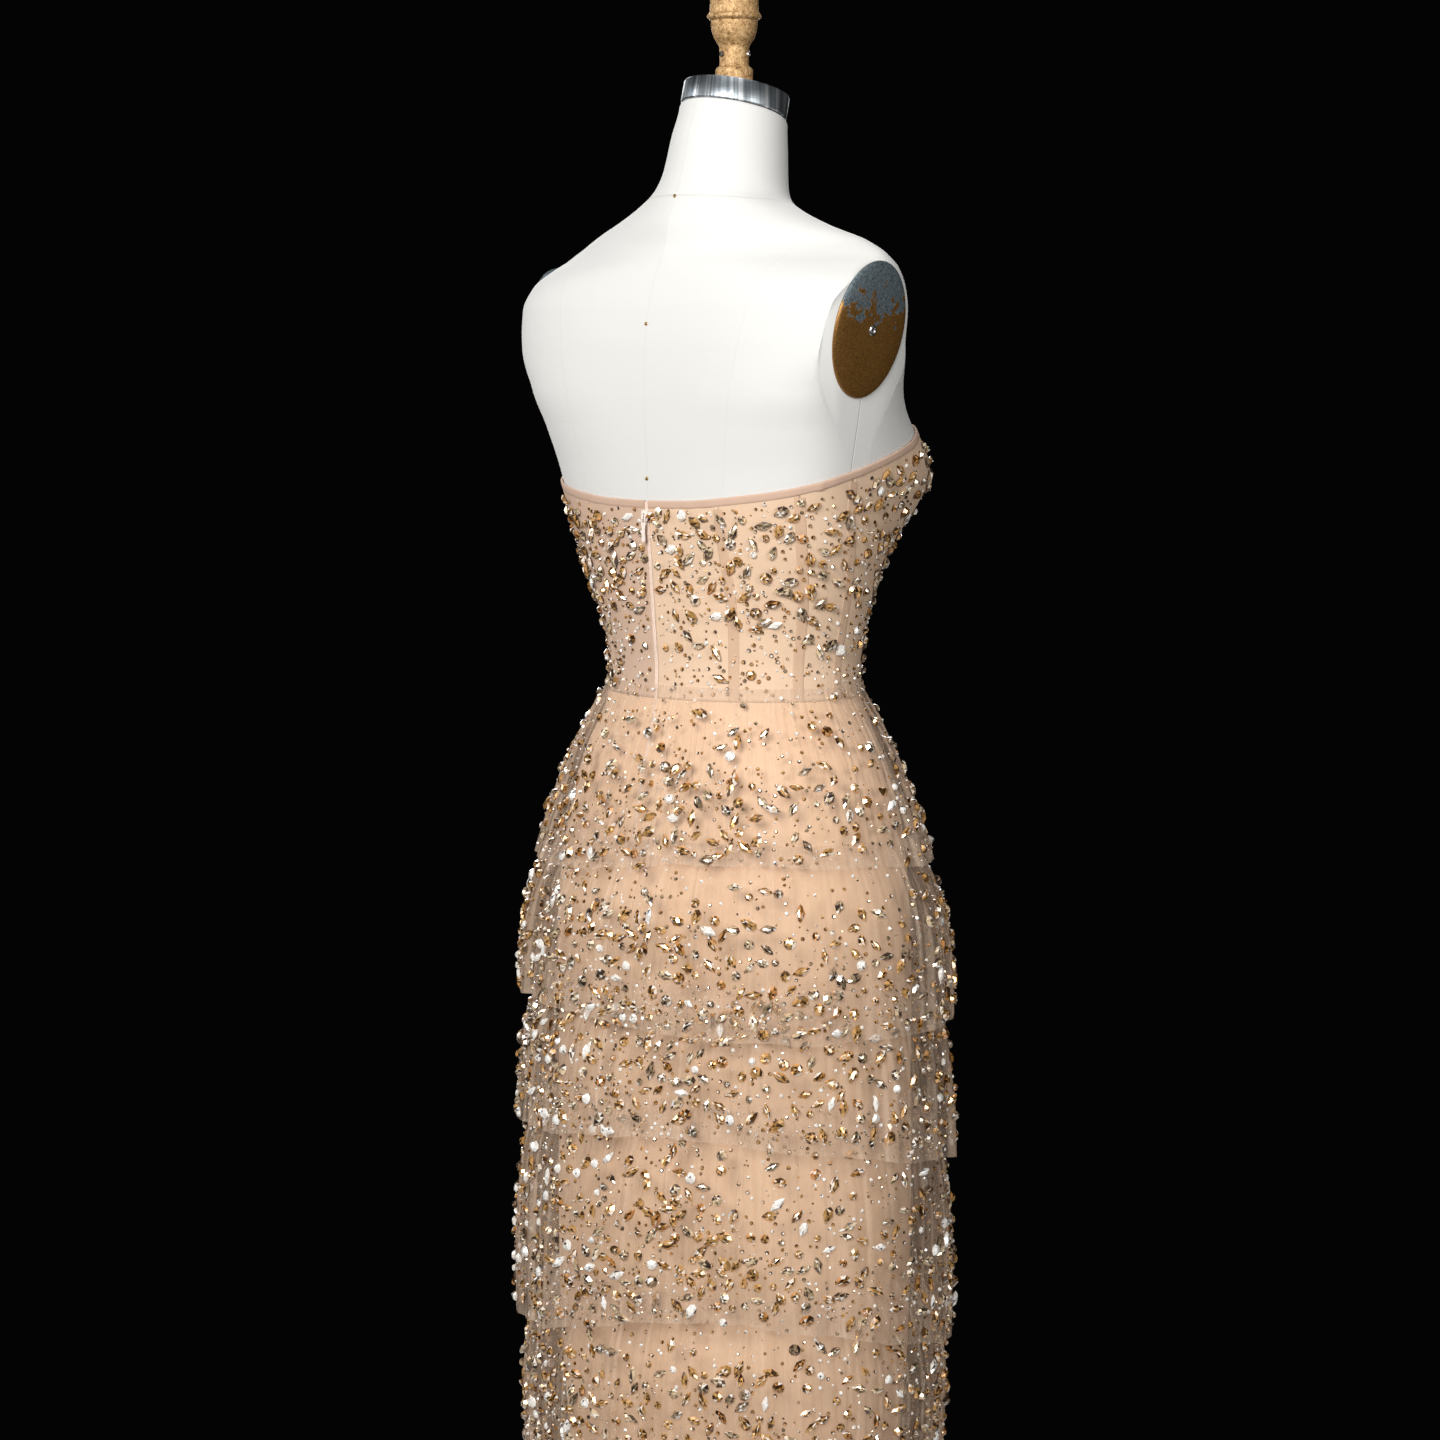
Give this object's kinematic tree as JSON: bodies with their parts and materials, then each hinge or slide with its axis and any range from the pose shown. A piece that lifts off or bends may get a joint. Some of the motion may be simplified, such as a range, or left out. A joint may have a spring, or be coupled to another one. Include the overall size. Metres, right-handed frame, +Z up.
{
  "type": "mermaid gown on dress form",
  "caption": "Strapless mermaid gown with a boned bodice and gathered tulle tiers, on a limbless dress form with a pole stand.",
  "frame": {"origin": "on the floor under the pole, at the middle of the base's flat underside", "axes": "+Z up along the pole, -Y towards the front of the gown, +X towards the wearer's left"},
  "size_m": [0.641, 0.6428, 1.645],
  "materials": {
    "bodice_mesh": "sheer tulle over nude lining, set with crystals",
    "casing": "boning casing under tulle",
    "binding": "folded plain edge",
    "zip_tape": "invisible zip",
    "zip_enamel": "pale enamel, glossy",
    "nude_lining": "smooth nude lining, slight sheen",
    "tulle": "sheer gathered tulle with crystals",
    "linen_cover": "tight white linen",
    "bronze_paint": "bronze paint, flaked to grey-blue at the top",
    "brushed_collar": "bright, turned",
    "cap_wood": "plain",
    "gilt_iron": "rough gold paint on cast iron",
    "pole_steel": "plain tube",
    "base_iron": "black paint"
  },
  "bodies": {
    "root": {"bodice_centre_front": "bodice_mesh", "bodice_side_front_L": "bodice_mesh", "bodice_side_front_R": "bodice_mesh", "bodice_underarm_L": "bodice_mesh", "bodice_underarm_R": "bodice_mesh", "bodice_side_back_L": "bodice_mesh", "bodice_side_back_R": "bodice_mesh", "bodice_centre_back_L": "bodice_mesh", "bodice_centre_back_R": "bodice_mesh", "casing_princess_L": "casing", "casing_princess_R": "casing", "casing_side_L": "casing", "casing_side_R": "casing", "casing_underarm_L": "casing", "casing_underarm_R": "casing", "casing_back_L": "casing", "casing_back_R": "casing", "top_binding": "binding", "zip_coil": "zip_tape", "zip_slider": "zip_enamel", "underskirt_front": "nude_lining", "underskirt_back_L": "nude_lining", "underskirt_back_R": "nude_lining", "tier_1": "tulle", "tier_2": "tulle", "tier_3": "tulle", "tier_4": "tulle", "tier_5": "tulle", "tier_6": "tulle", "tier_7": "tulle", "form_torso": "linen_cover", "arm_plate_L": "bronze_paint", "arm_plate_R": "bronze_paint", "neck_collar": "brushed_collar", "neck_cap": "cap_wood", "finial": "gilt_iron", "stand_flange": "base_iron", "stand_pole": "pole_steel", "stand_base": "base_iron"},
    "pull_tab": {"zip_pull": "zip_enamel"}
  },
  "joints": [
    {"name": "pull_swing", "type": "hinge", "parent": "root", "child": "pull_tab", "pos_m": [0, 0.10459, 1.2], "axis": [1, 0, 0], "range_deg": [0, 150]}
  ]
}
